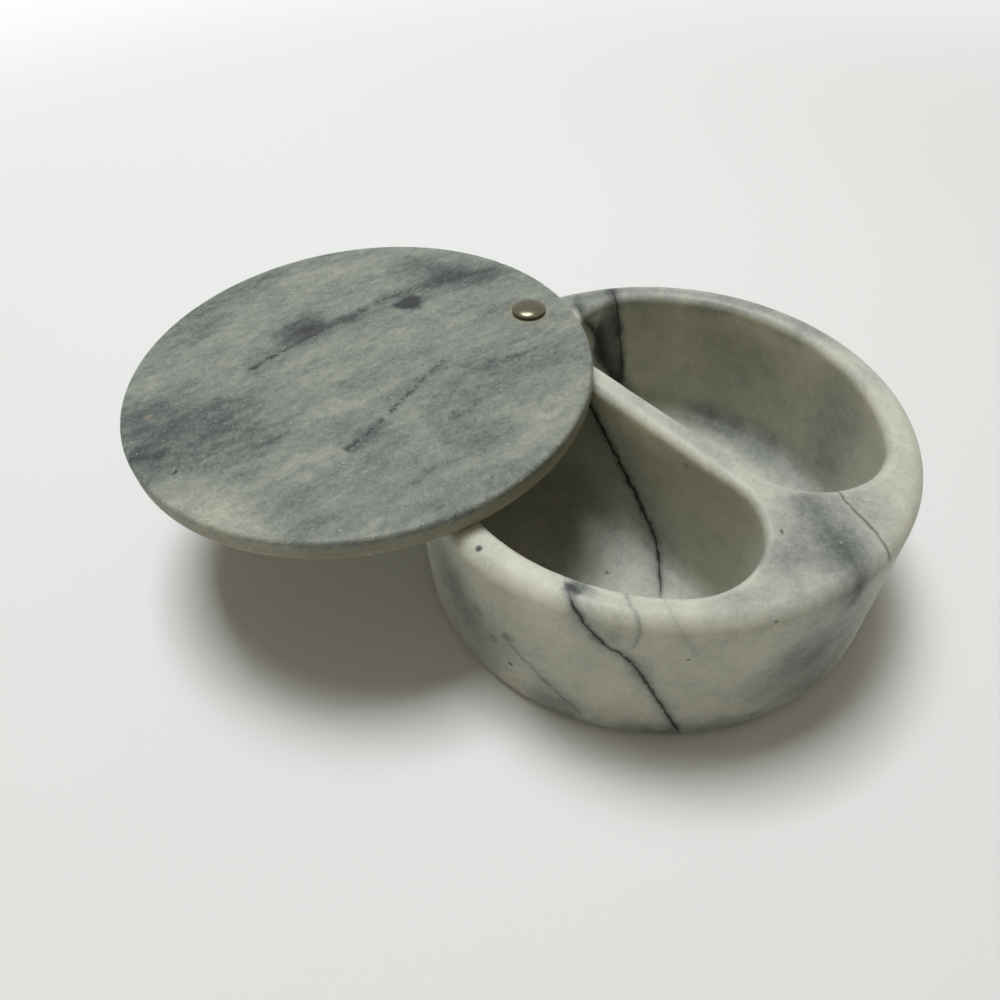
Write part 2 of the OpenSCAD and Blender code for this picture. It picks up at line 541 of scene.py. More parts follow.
@dataclass(frozen=True)
class MarbleFinish:
    """One polished marble: its tones from dark to light, its bands, what runs through it and, on
    the block, painted light and shade.

    Lengths are in millimetres. A pair for a wander holds its reach and its size, and a pair for
    a range holds its low and high ends.
    """

    name: str
    tones: tuple[tuple[float, Colour], ...]
    ink: Colour
    lean: Point3
    level: float
    layers: Bands
    streaks: Bands
    mottle: Bands
    veins: tuple[Vein, ...]
    # Smoke in the stone, and on the block also painted light and shade
    clouds: tuple[Cloud, ...]
    specks: tuple[Cloud, ...]
    grain: float
    grain_shade: float
    glint_share: float
    roughness: float
    shine: float
    glow: float
    glow_reach: float
    # A warm tint for stains and for painted bounce light, and the patches that carry it
    stain_and_bounce_tint: Colour | None = None
    stains_and_bounce: tuple[Cloud, ...] = ()
    axis: Point3 = (0.0, 0.0, 0.0)
    edge_r: float = 57.5
    edge_z: float = 45.0
    edge_reach: float = 1.2
    edge_wear: float = 0.4
    chip_size: float = 1.2
    drift: Pair = (2.4, 11.0)
    curdle: Pair = (1.6, 3.6)
    crook: Pair = (0.55, 2.6)
    swell: float = 3.0
    least_swell: float = 0.25
    broken: float = 0.0
    tear_scale: float = 0.6
    tear_rough: float = 0.6
    tear_range: Pair = (0.47, 0.57)
    # How strongly the painted crystal glints show
    fleck: float = 0.5
    smudge_scale: float = 0.06
    smudge_range: Pair = (0.3, 0.7)
    smoother: float = 0.06
    rougher: float = 0.08
    ring_pitch: float = 0.7
    ring_relief: float = 0.8
    relief: float = 0.25
    relief_depth: float = 0.04 * MM
    ior: float = 1.5
    glow_tint: Colour = (1.0, 0.96, 0.86)

    def build(self) -> Material:
        """Builds the material.

        Returns:
            The material, on Object coordinates.
        """
        material = bpy.data.materials.new(self.name)
        g = blank_graph(material)
        point = g.place_in_mm()
        wavy = self._wander(g, point, self.drift)
        curdled = self._wander(g, wavy, self.curdle)
        crooked = self._wander(g, point, self.crook)
        mottle = self.mottle.draw(g, point, self.lean)
        shade, glint, relief = g.group(
            "stone_crystals", Point=point, Size=self.grain, Glint_Share=self.glint_share
        )
        layers = self.layers.draw(g, wavy, self.lean)
        streaks = self.streaks.draw(g, curdled, self.lean)
        swell = g.math("MULTIPLY_ADD", mottle, self.swell, 1.0)
        line, haze = self._lines(g, crooked, g.math("MAXIMUM", swell, self.least_swell))
        tears = g.noise(point, self.tear_scale, rough=self.tear_rough)[0]
        torn = g.ramp(tears, *self.tear_range)
        line = line * g.math("MULTIPLY_ADD", torn, -self.broken, 1.0)
        # The clouds shift the tone: smoke in the stone and, on the block, painted light and shade
        tone = self._masks(g, curdled, self.clouds) - haze + self.level
        for part, share in (
            (layers, self.layers.share), (streaks, self.streaks.share),
            (mottle, self.mottle.share), (shade, self.grain_shade),
        ):
            tone = g.math("MULTIPLY_ADD", part, share, tone)
        colour = self._colour(g, tone)
        # Stains and, on the lid, painted bounce light on the side band, in the warm tint
        if self.stains_and_bounce:
            colour = g.blend(self._masks(g, crooked, self.stains_and_bounce), colour, self.stain_and_bounce_tint)
        colour = g.blend(line, colour, self.ink)
        colour = g.blend(self._masks(g, crooked, self.specks), colour, self.ink)
        wear = g.group(
            "edge_wear", Point=point, Axis=self.axis, Radius=self.edge_r, Height=self.edge_z,
            Reach=self.edge_reach, Size=self.chip_size,
        )[0]
        # Chipped, worn edges and painted glints of crystal faces, both in the lightest tone
        pale = g.math("MAXIMUM", wear * self.edge_wear, glint * self.fleck)
        colour = g.blend(pale, colour, self.tones[-1][1])
        smudge = g.noise(point, self.smudge_scale)[0]
        low, high = self.roughness - self.smoother, self.roughness + self.rougher
        rough = g.ramp(smudge, *self.smudge_range, low, high)
        rings = g.group("turning_marks", Point=point, Axis=self.axis, Pitch=self.ring_pitch)[0]
        normal = g.bump(relief + rings * self.ring_relief, self.relief, self.relief_depth)
        shader = g.add(
            "ShaderNodeBsdfPrincipled",
            {"Base Color": colour, "Roughness": rough, "Normal": normal, "IOR": self.ior,
             "Specular IOR Level": self.shine, "Subsurface Weight": self.glow,
             "Subsurface Radius": self.glow_tint, "Subsurface Scale": self.glow_reach * MM},
        )
        g.end(shader[0])
        return material

    @staticmethod
    def _wander(g: Graph, point: Value, size: Pair) -> Value:
        """A point pushed about, by a reach and at a size."""
        return g.group("stone_drift", Point=point, Reach=size[0], Size=size[1])[0]

    def _colour(self, g: Graph, tone: Value) -> Value:
        """The stone's colour for a tone.

        Args:
            g: the material's graph.
            tone: the tone, from 0 to 1.

        Returns:
            The colour.
        """
        made = g.add("ShaderNodeValToRGB", {0: tone})
        stops = made.node.color_ramp.elements
        while len(stops) < len(self.tones):
            stops.new(0.5)
        for stop, (place, colour) in zip(stops, self.tones):
            stop.position = place
            stop.color = (*colour, 1.0)
        return made[0]

    @staticmethod
    def _masks(g: Graph, point: Value, clouds: tuple[Cloud, ...]) -> Value:
        """Adds up the masks of clouds, each times its strength.

        Args:
            g: the material's graph.
            point: the point that the clouds are drawn with.
            clouds: the clouds.

        Returns:
            The sum.
        """
        total = 0.0
        for cloud in clouds:
            mask = g.group(
                "stone_cloud", Point=point, Centre=cloud.centre, Turn=-math.radians(cloud.turn),
                Reach=cloud.reach, Core=cloud.core, Strength=cloud.strength,
            )[0]
            total = mask + total
        return total

    def _lines(self, g: Graph, point: Value, swell: Value) -> tuple[Value, Value]:
        """Draws the veins.

        Args:
            g: the material's graph.
            point: the crooked point that they are drawn with.
            swell: how much thicker or thinner they are than their width, from place to place.

        Returns:
            The mask of the dark lines, and how much their hazes darken the stone.
        """
        line, haze = 0.0, 0.0
        for vein in self.veins:
            drawn, fog = vein.draw(g, point, swell)
            line = g.math("MAXIMUM", drawn * vein.ink, line)
            haze = g.math("MULTIPLY_ADD", fog, vein.haze, haze)
        return line, haze


@dataclass(frozen=True)
class PlainFinish:
    """A metal or plastic finish with a fine turned or moulded grain. Scales are features a mm."""

    name: str
    colour: Colour
    tarnish: Colour
    metallic: float
    roughness: float
    patch_scale: float = 0.75
    patch_detail: float = 5.0
    patch_rough: float = 0.6
    tarnish_range: Pair = (0.45, 0.75)
    rough_range: Pair = (0.3, 0.75)
    rougher: float = 0.14
    grain_scale: float = 10.0
    relief: float = 0.2
    relief_depth: float = 0.02 * MM

    def build(self) -> Material:
        """Builds the material.

        Returns:
            The material, on Object coordinates.
        """
        material = bpy.data.materials.new(self.name)
        g = blank_graph(material)
        point = g.place_in_mm()
        wear = g.noise(point, self.patch_scale, self.patch_detail, self.patch_rough)[0]
        grain = g.noise(point, self.grain_scale)[0]
        colour = g.blend(g.ramp(wear, *self.tarnish_range), self.colour, self.tarnish)
        rough = g.ramp(wear, *self.rough_range, self.roughness, self.roughness + self.rougher)
        normal = g.bump(grain, self.relief, self.relief_depth)
        shader = g.add(
            "ShaderNodeBsdfPrincipled",
            {"Base Color": colour, "Metallic": self.metallic, "Roughness": rough,
             "Normal": normal},
        )
        g.end(shader[0])
        return material


PALE_VEINS = (
    Vein(
        ((-49, -22.5, 46), (-50, -23.8, 46), (-51.7, -29.5, 44), (-49.5, -34, 37.6),
         (-47.4, -36.8, 35), (-45.4, -39.3, 31), (-41, -43.8, 17.6), (-36.2, -47.9, 2)),
        width=0.86, ink=0.96, haze=0.12, haze_width=4.5,
    ),
    Vein(
        ((-3.5, 22, 43), (-3.5, 15.4, 35), (-3.5, 6.4, 26), (-3.5, -3.2, 15.6),
         (-3.7, -7.8, 9.6), (-6, -11.8, 6.7), (-10.1, -16.3, 6), (-15, -21, 6)),
        width=0.76, ink=0.96, haze=0.14, haze_width=6.0, depth=18.0,
    ),
    Vein(
        ((19, 55, 44), (17.4, 49.2, 46), (16.8, 45.5, 44), (21.7, 45.3, 37),
         (26.6, 44.2, 22.5), (34.2, 39.2, 10)),
        width=1.5, haze=0.3, haze_width=4.5,
    ),
    Vein(
        ((31.6, 50, 46), (28.8, 44.2, 45.8), (30.4, 42.3, 30), (31.6, 41.3, 14)),
        width=0.8, ink=0.85, haze=0.2, haze_width=3.0,
    ),
    Vein(
        ((-42, -32, 46), (-43.3, -34.4, 46), (-44.2, -37.7, 45.4), (-45.9, -38.7, 37.5)),
        width=0.5, ink=0.34, haze=0.05, haze_width=2.0,
    ),
    Vein(
        ((-36.5, -36.5, 46), (-39, -41.6, 46), (-39.3, -45, 43.5), (-36.5, -47.6, 36)),
        width=0.5, ink=0.16, haze=0.03, haze_width=2.0,
    ),
    Vein(
        ((-58.6, -12.6, 24.6), (-58.3, -14.3, 22.6), (-55.7, -22.3, 15.3), (-51, -31.6, 5)),
        width=0.4, ink=0.42, haze=0.1, haze_width=3.0,
    ),
    Vein(
        ((13.5, -39, 46), (9.4, -46.5, 46), (7.3, -53.8, 46), (5.6, -59.6, 41)),
        width=0.42, ink=0.7, haze=-0.06, haze_width=2.5,
    ),
    Vein(
        ((5, -38, 46), (3.3, -42, 46), (-0.3, -49.4, 46), (-2.6, -56, 46), (-6, -59.7, 38)),
        width=1.3, ink=0.2, haze=0.12, haze_width=7.0,
    ),
    Vein(
        ((58, 15, 45), (59, 9, 38), (60, 1, 22), (59.6, -8, 3)),
        width=0.6, ink=0.8, haze=0.2, haze_width=5.0, depth=6.0,
        lean=(-1.0, 0.0, -0.1),
    ),
    Vein(
        ((-28, 52, 45), (-29, 52.5, 36), (-34, 49.5, 22), (-38, 46.5, 4)),
        width=0.5, ink=0.8, haze=0.2, haze_width=5.0, depth=6.0,
        lean=(0.5, -0.85, -0.1),
    ),
)
# Patches of tone in the block: smoke in the stone, and painted light and shade, marked row by row
# below
PALE_CLOUDS_AND_PAINTED_LIGHT = patches(
    ((-48.8, -24.6, 46), (3.2, 3.6, 3.2), -0.52),
    ((-47.4, -27, 46), (2.4, 2.8, 3.0), -0.24),
    ((-47.8, -36, 41), (5.0, 3.5, 4.0), -0.16, 40),
    ((5, -45, 46), (19, 20, 9), -0.22, 0, 0.2),
    ((-4, -55, 46), (12, 9, 8), -0.2, 30),
    ((-10, -50, 46), (18, 14, 8), -0.14),
    ((-2, -60, 22), (24, 8, 30), -0.3),
    ((-16, -58, 28), (14, 8, 16), -0.16),
    ((-6, -59.5, 40), (6, 4, 8), -0.18),
    # Painted shade: the left side darker under the lid
    ((-59.6, -3, 16), (8, 20, 24), -0.26),
    ((-54, -26, 12), (9, 10, 10), -0.1),
    # Painted shade: the left side darker under the lid
    ((-58, 8, 30), (9, 18, 26), -0.2),
    # Painted shade: darker towards the foot, in this row and the next two
    ((-52, -30, 0), (12, 16, 7), -0.26, -40),
    ((-30, -52, 1), (26, 10, 10), -0.32, -30),
    ((-8, -60, 6), (20, 8, 9), -0.12),
    ((-58, -14, 25.5), (3, 3, 2.6), -0.22),
    ((-59.3, -9, 20), (2.4, 2.4, 2.4), -0.2),
    ((-59.6, -5.2, 26.7), (2.4, 3.4, 2.4), -0.14),
    # Painted shade: darker towards the foot, in this row and the next
    ((-55, -24, 5), (8, 16, 9), -0.26, -25),
    ((-44, -42, 3), (14, 9, 8), -0.24, -40),
    ((-14, -57, 18), (24, 9, 20), -0.18),
    # Painted light: the divider's face lighter in the near pocket
    ((-3.5, -8, 33), (3, 26, 14), 0.08),
    ((1.5, -8, 46), (6, 28, 4), -0.2),
    ((26, 44.5, 33), (5.8, 6, 14), -0.42, 0, 0.5),
    ((29.6, 42.6, 20), (3.6, 5, 10), -0.36, 0, 0.4),
    ((18, 47.5, 44.5), (3, 3, 2.4), -0.5),
    # Darker back rim: painted shade, partly the grey streaks of the stone
    ((24, 48, 46), (14, 8, 5), -0.42),
    ((46.7, 20.3, 8), (5, 6, 4), -0.1),
    ((37, 33, 10), (3.4, 3.4, 4), -0.3),
    # Painted shadow of the far wall on the far pocket's floor, in this row and the next two
    ((49, 2, 7), (10, 32, 7), -0.26),
    ((46, 16, 6), (9, 12, 5), -0.16),
    ((42, -10, 7), (8, 20, 5), -0.14),
    # Painted shadow at the foot of the far pocket's outer wall
    ((44, -22, 12), (16, 16, 14), -0.2),
    # Painted shade: the back and right rim darker, in this row and the next three
    ((50, 24, 46), (12, 22, 7), -0.3, 30),
    ((57, 0, 46), (8, 26, 8), -0.28),
    ((37, 42, 46), (17, 9, 7), -0.27, -40),
    ((14, 55, 45), (14, 9, 7), -0.34),
    # Painted shade: the far pocket's outer wall darker, in this row and the next
    ((52, -24, 32), (16, 20, 24), -0.22),
    ((50, 14, 26), (10, 30, 22), -0.12),
    # Painted shadow of the lid on the near pocket's floor
    ((-16, 0, 6), (22, 34, 4), -0.12),
    ((-30, 52, 20), (16, 9, 16), -0.25),
    ((-54, -22, 36), (9, 14, 13), 0.12, -30),
    ((-48, -34, 20), (6, 8, 10), 0.08, -40),
    ((-27, -47, 46), (9, 6, 5), -0.16, -30),
    ((-12, -45, 46), (10, 8, 6), -0.14),
    ((-54, -18, 43), (6, 12, 6), 0.12, -15),
    ((-16, -57, 41), (22, 8, 8), -0.12, -12),
    # Painted light: lighter bands below the pockets' mouths, in this row and the next
    ((-3.5, 6, 41), (3.4, 28, 5), 0.2),
    ((50, 8, 40.5), (6, 26, 5), 0.16),
    ((-44, -41, 30), (5, 4, 6), -0.12),
)
PALE_SPECKS = patches(
    ((-57.1, -4.3, 45.8), (1.2, 1.2, 1.2), 0.9, 0, 0.3),
    ((-49.2, -24.5, 46), (1.2, 2.7, 2.2), 0.9, 10, 0.1),
    ((-58.3, -14, 13.4), (0.8, 0.9, 0.8), 0.9, 0, 0.35),
    ((-38, -46.4, 34.8), (0.6, 0.6, 0.5), 0.8, 0, 0.3),
    ((-24.2, -54.4, 44), (0.8, 0.6, 0.6), 0.6, 0, 0.3),
    ((-7, -41.9, 46), (1.0, 0.5, 0.8), 0.7, 60, 0.3),
    ((-19.1, -5.7, 6), (0.9, 0.9, 0.9), 0.65, 0, 0.2),
    ((-21.8, -55.9, 5.5), (1.1, 0.8, 0.6), 0.6, 0, 0.3),
    ((-15.2, -58, 20.2), (0.6, 0.6, 0.5), 0.5, 0, 0.3),
    ((-3.5, -13.2, 41.4), (1.2, 1.3, 1.3), 0.4),
)
PALE_MARBLE = MarbleFinish(
    name="cream_marble",
    tones=(
        (0.0, srgb(36, 38, 35)), (0.25, srgb(90, 94, 89)), (0.5, srgb(142, 146, 139)),
        (0.75, srgb(184, 184, 171)), (1.0, srgb(209, 208, 193)),
    ),
    ink=srgb(26, 27, 25),
    lean=(0.5, 0.35, 0.9),
    level=0.765,
    layers=Bands(42.0, 18.0, share=0.3, shift=0.0, detail=3.0),
    streaks=Bands(16.8, 6.3, share=0.2, shift=7.3, detail=5.0),
    mottle=Bands(3.3, 3.3, share=0.22, shift=2.0, detail=6.0),
    veins=PALE_VEINS,
    clouds=PALE_CLOUDS_AND_PAINTED_LIGHT,
    specks=PALE_SPECKS,
    grain=0.9,
    grain_shade=0.07,
    glint_share=0.006,
    roughness=0.5,
    shine=0.3,
    glow=0.85,
    glow_reach=7.5,
)

GREY_VEINS = (
    Vein(
        ((-70, 76, 52), (-64, 77, 52), (-56, 78, 52), (-47, 79, 52), (-39, 79, 52),
         (-30, 80.5, 52)),
        width=1.1, ink=0.98, haze=0.12, haze_width=6.0,
    ),
    Vein(
        ((-29, 80.5, 52), (-22, 79.5, 52), (-10, 77, 52), (9, 70, 52)),
        width=1.0, ink=0.9, haze=0.12, haze_width=5.0,
    ),
    Vein(
        ((-66, 33.5, 52), (-59, 35, 52), (-53, 37, 52)),
        width=1.1, ink=0.9, haze=0.1, haze_width=4.0,
    ),
    Vein(
        ((-52, 38, 52), (-46, 40, 52), (-41, 42, 52), (-36, 44, 52), (-29, 46, 52)),
        width=0.8, ink=0.9, haze=0.08, haze_width=4.0,
    ),
    Vein(
        ((-105, 64.5, 52), (-101, 62, 52), (-98, 60, 52)),
        width=1.2, ink=0.9, haze=0.14, haze_width=4.0,
    ),
)
GREY_CLOUDS = patches(
    ((-51, 82, 50), (11, 8, 20), -0.34, -30),
    ((-46, 85, 50), (8, 7, 20), -0.2, 30),
    ((-39, 79.5, 50), (9, 3.0, 20), -0.24),
    ((-21.5, 73.5, 50), (4.8, 5.2, 20), -1.05, -30, 0.0),
    ((-6, 82, 50), (26, 11, 30), -0.26, -60),
    ((-16, 78, 50), (14, 10, 30), -0.06),
    ((-36, 32, 50), (15, 11, 20), -0.12, -8),
    ((-80, 49, 50), (15, 8, 20), -0.18, 14),
    ((-59, 35, 50), (8, 4, 20), -0.12, 13),
    ((-42, 20, 50), (10, 7, 20), -0.2, -8),
    ((-37, 13, 50), (13, 7, 20), -0.14, -8),
    ((-90, 66, 50), (26, 22, 30), -0.27, -20),
    ((-100, 76, 50), (12, 16, 30), -0.12, -20),
    ((-74, 106, 50), (24, 13, 30), -0.2, 22),
    ((-46, 114, 50), (18, 6, 30), -0.22),
    ((-32, 96, 50), (24, 9, 30), -0.06, -33),
    ((-62, 6, 50), (14, 6, 20), -0.1, -8),
    ((-16, 33, 50), (18, 9, 20), -0.17, -29),
    ((-28, 40, 50), (10, 4, 20), -0.06, -21),
    ((-4, 52, 50), (10, 12, 20), -0.12, -21),
    ((-100, 40, 49), (20, 12, 20), 0.28, -55),
    ((-95, 24, 49), (14, 12, 20), 0.3, -40),
    ((-60, 62, 50), (15, 9, 30), 0.15, -11),
    ((-56, 47, 50), (14, 8, 30), 0.08, -23),
    ((-62, 94, 50), (12, 10, 30), 0.1),
    ((-34, 103, 50), (20, 13, 30), 0.14, -33),
    ((-30, 11, 50), (18, 8, 30), 0.16, 10),
    ((-74, 37, 50), (13, 6, 20), 0.12, -21),
    ((-69, 8, 50), (16, 6, 20), 0.1, -29),
)
# Warm patches on the lid: a stain, a ring round the pin, and painted bounce light on the side band
GREY_STAINS_AND_BOUNCE = patches(
    ((-96, 76, 52), (1.8, 1.1, 3), 0.5),
    # A warm, lighter ring round the pin's head
    ((0, 48, 52), (6.4, 6.4, 2), 0.5, 0, 0.68),
    # Painted bounce light: the lid's side band warmer and lighter, as lit from the floor, partly
    # the stone's own warm edge
    ((-46.67, 59.25, 48.6), (80, 80, 3.4), 0.5, 0, 0.76),
)
GREY_SPECKS = patches(
    ((-98.5, 53, 52), (1.3, 0.8, 3), 0.95, 20, 0.35),
    ((-3, 53, 52), (0.6, 0.6, 3), 0.6, 0, 0.3),
)
GREY_MARBLE = MarbleFinish(
    name="grey_green_marble",
    tones=(
        (0.0, srgb(33, 36, 35)), (0.25, srgb(76, 82, 79)), (0.5, srgb(116, 121, 113)),
        (0.75, srgb(142, 145, 133)), (1.0, srgb(172, 172, 155)),
    ),
    ink=srgb(42, 44, 44),
    # Warm tint of stains and of the painted bounce light on the lid's side band
    stain_and_bounce_tint=srgb(144, 136, 108),
    lean=(0.0, 0.0, math.radians(-4)),
    axis=(-46.67, 59.25, 0.0),
    edge_r=58.5,
    edge_z=51.7,
    edge_reach=0.9,
    edge_wear=0.9,
    crook=(1.0, 1.9),
    broken=0.8,
    fleck=0.8,
    level=0.527,
    layers=Bands(34.0, 10.0, share=0.44, shift=3.1, detail=3.0),
    streaks=Bands(13.6, 3.5, share=0.46, shift=10.4, detail=5.0),
    mottle=Bands(3.8, 2.2, share=0.48, shift=2.0, detail=6.0),
    veins=GREY_VEINS,
    clouds=GREY_CLOUDS,
    stains_and_bounce=GREY_STAINS_AND_BOUNCE,
    specks=GREY_SPECKS,
    grain=0.8,
    grain_shade=0.13,
    glint_share=0.03,
    roughness=0.48,
    shine=0.26,
    glow=0.3,
    glow_reach=3.0,
)

# Nickel whose colour is darkened to paint in a dim reflection of its surroundings, with tarnish
# patches
NICKEL_DIM_REFLECTION = PlainFinish(
    name="nickel_dim_reflection", colour=srgb(97, 93, 76), tarnish=srgb(80, 76, 60), metallic=1.0,
    roughness=0.17,
)
SOCKET_BRASS = PlainFinish(
    name="turned_brass", colour=srgb(206, 170, 98), tarnish=srgb(160, 128, 72), metallic=1.0,
    roughness=0.3,
)
BUSH_NYLON = PlainFinish(
    name="natural_nylon", colour=srgb(230, 228, 216), tarnish=srgb(214, 208, 190), metallic=0.0,
    roughness=0.5,
)


class NodeBox:
    """The box that a round CAD node fills at rest, with its middle and its radius."""

    def __init__(self, node: str) -> None:
        """Measures the node.

        Args:
            node: its name.
        """
        self.low, self.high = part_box(node)
        self.middle = (self.low + self.high) / 2
        self.radius = (self.high.x - self.low.x) / 2


def show(name: str, data: bpy.types.ID) -> Object:
    """Puts a mesh, a lamp or a camera in the scene.

    Args:
        name: its name.
        data: what is shown.

    Returns:
        Its object, at the origin.
    """
    shown = bpy.data.objects.new(name, data)
    bpy.context.scene.collection.objects.link(shown)
    return shown


def finished_piece(
    name: str, mesh: bpy.types.Mesh, material: Material, body: str, node: str
) -> Object:
    """Shows a mesh as a piece that stands for one CAD node and rides on its body.

    Args:
        name: the piece's name.
        mesh: its mesh, in place.
        material: its finish.
        body: the body that it rides on.
        node: the CAD node that it replaces.

    Returns:
        The piece.
    """
    mesh.materials.clear()
    mesh.materials.append(material)
    piece = show(name, mesh)
    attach(piece, body)
    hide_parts(node)
    log.info("%s: %d faces, on %s, for %s", name, len(mesh.polygons), body, node)
    return piece


def plain_mesh(work: Work, name: str) -> bpy.types.Mesh:
    """Turns a bmesh into a mesh, and frees it.

    Args:
        work: the bmesh.
        name: the mesh's name.

    Returns:
        The mesh.
    """
    mesh = bpy.data.meshes.new(name)
    work.to_mesh(mesh)
    work.free()
    return mesh


def smooth_mesh(work: Work, name: str, crease: float = 38.0) -> bpy.types.Mesh:
    """Turns a bmesh into a mesh with outward faces, smooth but for its creases.

    Args:
        work: the bmesh, which is freed.
        name: the mesh's name.
        crease: the angle, in degrees, past which an edge stays sharp.

    Returns:
        The mesh.
    """
    bmesh.ops.recalc_face_normals(work, faces=work.faces)
    mesh = plain_mesh(work, name)
    mesh.shade_smooth()
    mesh.set_sharp_from_angle(angle=math.radians(crease))
    return mesh


def add_ring(work: Work, places: list[Vector]) -> Ring:
    """Adds a ring's vertices."""
    return [work.verts.new(p) for p in places]


def looped(ring: Ring) -> zip:
    """Each of a ring's vertices with its next one, all the way round."""
    return zip(ring, ring[1:] + ring[:1])


def skin(work: Work, rings: list[Ring]) -> None:
    """Joins rings of equal count, each to the next, with bands of faces.

    Args:
        work: the bmesh.
        rings: the rings.
    """
    for first, second in zip(rings, rings[1:]):
        for (a, b), (d, c) in zip(looped(first), looped(second)):
            work.faces.new((a, b, c, d))


def fill(work: Work, rings: list[Ring], up: int) -> None:
    """Fills the level area that rings bound with triangles.

    Args:
        work: the bmesh.
        rings: the rings.
        up: 1 for faces that look up, -1 for faces that look down.
    """
    pairs = [pair for ring in rings for pair in looped(ring)]
    edges = [work.edges.get(pair) or work.edges.new(pair) for pair in pairs]
    bmesh.ops.triangle_fill(work, use_beauty=True, edges=edges, normal=(0, 0, up))


def circle(centre: Vector, radius: float, z: float, steps: int) -> list[Vector]:
    """Places round a level circle.

    Args:
        centre: its middle, of which x and y are used.
        radius: its radius.
        z: its height.
        steps: the number of places.

    Returns:
        The places.
    """
    turns = [math.tau * i / steps for i in range(steps)]
    return [
        Vector((centre.x + radius * math.cos(a), centre.y + radius * math.sin(a), z))
        for a in turns
    ]


def turned(work: Work, centre: Vector, profile: list[Pair], steps: int) -> list[Ring]:
    """Adds a round shape's skin.

    Args:
        work: the bmesh.
        centre: where its upright axis stands.
        profile: its outline, as radius and height.
        steps: the number of places round it.

    Returns:
        Its rings.
    """
    rings = [add_ring(work, circle(centre, r, z, steps)) for r, z in profile]
    skin(work, rings)
    return rings


def bend(centre: Pair, radius: float, start: float, end: float, rows: int) -> list[Pair]:
    """Places along a round in a section.

    Args:
        centre: the round's centre.
        radius: its radius.
        start: the angle at which it starts.
        end: the angle at which it ends.
        rows: the number of steps between them.

    Returns:
        The places, both ends among them.
    """
    angles = [start + (end - start) * i / rows for i in range(rows + 1)]
    x, z = centre
    return [(x + radius * math.cos(a), z + radius * math.sin(a)) for a in angles]


def upright(x: float, start: float, end: float, rows: int) -> list[Pair]:
    """Places along a straight side in a section, both ends left out."""
    return [(x, start + (end - start) * i / rows) for i in range(1, rows)]


@dataclass(frozen=True)
class GroundSpot:
    """A stretch of a pocket's mouth that was ground rounder, or less round, than the rest."""

    x: float
    y: float
    reach: float
    amount: float

    def share(self, at: Vector) -> float:
        """How much rounder the mouth is at a place, as a share of its rounding."""
        gap = (at - Vector((self.x, self.y, 0.0))).length / self.reach
        return self.amount * max(0.0, 1.0 - gap * gap) ** 2


